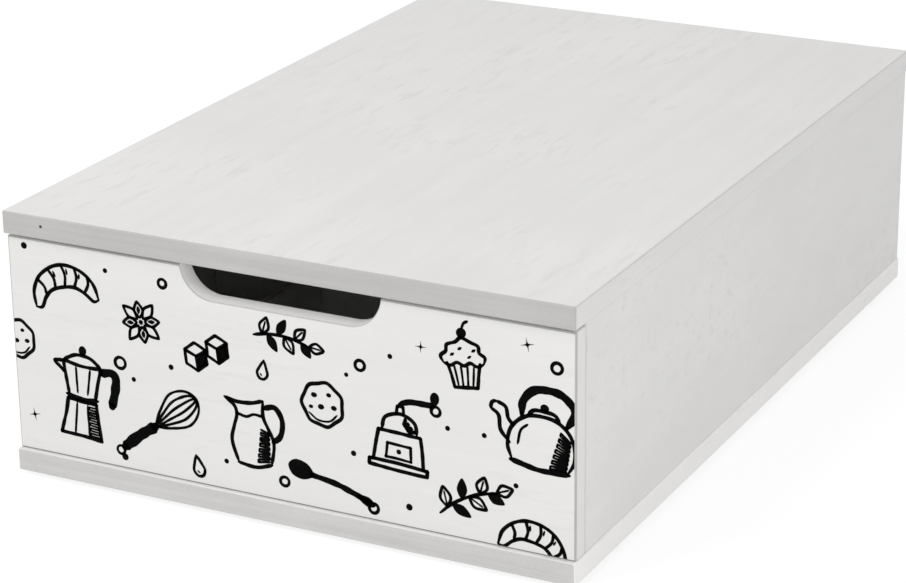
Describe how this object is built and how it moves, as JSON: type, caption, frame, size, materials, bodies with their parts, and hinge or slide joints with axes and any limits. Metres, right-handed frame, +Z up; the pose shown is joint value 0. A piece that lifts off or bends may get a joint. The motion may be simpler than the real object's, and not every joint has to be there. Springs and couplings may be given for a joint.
{
  "type": "coffee capsule drawer",
  "caption": "Low wooden box with a full-width pull-out drawer, a finger notch in its front's top edge and dividers inside for coffee capsules; a machine stands on its flat top.",
  "frame": {"origin": "on the surface that the box stands on, under the middle of its bounding box", "axes": "+X to the right as seen from the front, +Y towards the rear (the drawer opens towards -Y), +Z up"},
  "size_m": [0.21, 0.31, 0.0958],
  "materials": {
    "white_paint": "satin white paint over board",
    "white_sheet": "white-faced thin fibreboard",
    "beech": "bare beech",
    "zinc_steel": "zinc plated",
    "dark_pad": "matt"
  },
  "bodies": {
    "carcass": {"top_panel": "white_paint", "bottom_panel": "white_paint", "side_panel_left": "white_paint", "side_panel_right": "white_paint", "back_panel": "white_sheet", "top_dowel_left_1": "beech", "top_dowel_left_2": "beech", "top_dowel_left_3": "beech", "top_dowel_right_1": "beech", "top_dowel_right_2": "beech", "top_dowel_right_3": "beech", "bottom_screw_left_1": "zinc_steel", "bottom_screw_left_2": "zinc_steel", "bottom_screw_left_3": "zinc_steel", "bottom_screw_right_1": "zinc_steel", "bottom_screw_right_2": "zinc_steel", "bottom_screw_right_3": "zinc_steel", "back_pin_top_left": "zinc_steel", "back_pin_top_right": "zinc_steel", "back_pin_bottom_left": "zinc_steel", "back_pin_bottom_right": "zinc_steel", "back_pin_left": "zinc_steel", "back_pin_right": "zinc_steel", "foot_front_left": "dark_pad", "foot_front_right": "dark_pad", "foot_rear_left": "dark_pad", "foot_rear_right": "dark_pad"},
    "drawer": {"drawer_front": "white_paint", "drawer_side_left": "white_paint", "drawer_side_right": "white_paint", "drawer_back": "white_paint", "drawer_bottom": "white_sheet", "front_dowel_left_1": "beech", "front_dowel_left_2": "beech", "front_dowel_right_1": "beech", "front_dowel_right_2": "beech", "back_dowel_left_1": "beech", "back_dowel_left_2": "beech", "back_dowel_right_1": "beech", "back_dowel_right_2": "beech", "divider_lengthwise_1": "white_sheet", "divider_lengthwise_2": "white_sheet", "divider_lengthwise_3": "white_sheet", "divider_cross_1": "white_sheet", "divider_cross_2": "white_sheet"}
  },
  "joints": [
    {"name": "drawer_slide", "type": "slide", "parent": "carcass", "child": "drawer", "axis": [0, -1, 0], "range_m": [0, 0.24]}
  ]
}
